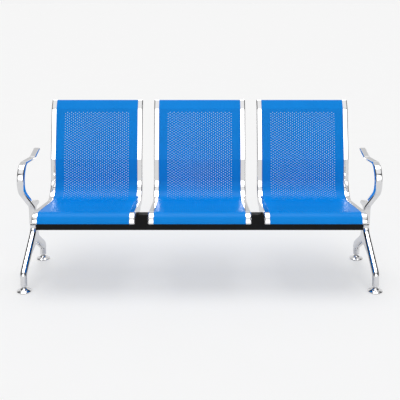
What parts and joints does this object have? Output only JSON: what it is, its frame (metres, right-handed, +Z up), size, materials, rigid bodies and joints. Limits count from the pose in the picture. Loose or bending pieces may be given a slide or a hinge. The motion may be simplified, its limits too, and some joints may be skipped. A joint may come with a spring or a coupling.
{
  "type": "beam seating",
  "caption": "Beam seating: perforated steel seat shells between chromed side frames on a black rectangular beam, with cast end legs, loop armrests and levelling glides.",
  "frame": {"origin": "on the floor, at the centre of the footprint", "axes": "+X along the beam to the right of someone facing the front, +Y to the rear, +Z up"},
  "size_m": [1.792, 0.6484, 0.8611],
  "materials": {
    "seat_blue": "semi-gloss blue powder coat on punched steel sheet",
    "chrome": "polished chrome plate",
    "beam_black": "satin black powder coat",
    "zinc": "bright zinc-plated steel"
  },
  "bodies": {
    "root": {"beam_tube": "beam_black", "beam_end_plate_left": "beam_black", "beam_end_plate_right": "beam_black", "seat_shell_left": "seat_blue", "side_frame_left_left": "chrome", "shell_screws_left_left": "zinc", "side_frame_left_right": "chrome", "shell_screws_left_right": "zinc", "frame_bolts_left": "zinc", "seat_shell_centre": "seat_blue", "side_frame_centre_left": "chrome", "shell_screws_centre_left": "zinc", "side_frame_centre_right": "chrome", "shell_screws_centre_right": "zinc", "frame_bolts_centre": "zinc", "seat_shell_right": "seat_blue", "side_frame_right_left": "chrome", "shell_screws_right_left": "zinc", "side_frame_right_right": "chrome", "shell_screws_right_right": "zinc", "frame_bolts_right": "zinc", "leg_left": "chrome", "armrest_left": "chrome", "leg_bolts_left": "zinc", "arm_bolt_left": "zinc", "foot_lock_nut_front_left": "zinc", "foot_lock_nut_rear_left": "zinc", "leg_right": "chrome", "armrest_right": "chrome", "leg_bolts_right": "zinc", "arm_bolt_right": "zinc", "foot_lock_nut_front_right": "zinc", "foot_lock_nut_rear_right": "zinc"},
    "pad_front_left": {"foot_pad_front_left": "chrome"},
    "stud_front_left": {"foot_stud_front_left": "zinc"},
    "pad_rear_left": {"foot_pad_rear_left": "chrome"},
    "stud_rear_left": {"foot_stud_rear_left": "zinc"},
    "pad_front_right": {"foot_pad_front_right": "chrome"},
    "stud_front_right": {"foot_stud_front_right": "zinc"},
    "pad_rear_right": {"foot_pad_rear_right": "chrome"},
    "stud_rear_right": {"foot_stud_rear_right": "zinc"}
  },
  "joints": [
    {"name": "glide_height_front_left", "type": "slide", "parent": "root", "child": "pad_front_left", "axis": [0, 0, -1], "range_m": [0, 0.012]},
    {"name": "stud_spin_front_left", "type": "hinge", "parent": "pad_front_left", "child": "stud_front_left", "pos_m": [-0.86, -0.284, 0], "axis": [0, 0, -1], "range_deg": [0, 2881]},
    {"name": "glide_height_rear_left", "type": "slide", "parent": "root", "child": "pad_rear_left", "axis": [0, 0, -1], "range_m": [0, 0.012]},
    {"name": "stud_spin_rear_left", "type": "hinge", "parent": "pad_rear_left", "child": "stud_rear_left", "pos_m": [-0.86, 0.158, 0], "axis": [0, 0, -1], "range_deg": [0, 2881]},
    {"name": "glide_height_front_right", "type": "slide", "parent": "root", "child": "pad_front_right", "axis": [0, 0, -1], "range_m": [0, 0.012]},
    {"name": "stud_spin_front_right", "type": "hinge", "parent": "pad_front_right", "child": "stud_front_right", "pos_m": [0.86, -0.284, 0], "axis": [0, 0, -1], "range_deg": [0, 2881]},
    {"name": "glide_height_rear_right", "type": "slide", "parent": "root", "child": "pad_rear_right", "axis": [0, 0, -1], "range_m": [0, 0.012]},
    {"name": "stud_spin_rear_right", "type": "hinge", "parent": "pad_rear_right", "child": "stud_rear_right", "pos_m": [0.86, 0.158, 0], "axis": [0, 0, -1], "range_deg": [0, 2881]}
  ],
  "couplings": [
    {"joint": "stud_spin_front_left", "follows": "glide_height_front_left", "rad_per_m": 4188.8},
    {"joint": "stud_spin_rear_left", "follows": "glide_height_rear_left", "rad_per_m": 4188.8},
    {"joint": "stud_spin_front_right", "follows": "glide_height_front_right", "rad_per_m": 4188.8},
    {"joint": "stud_spin_rear_right", "follows": "glide_height_rear_right", "rad_per_m": 4188.8}
  ]
}
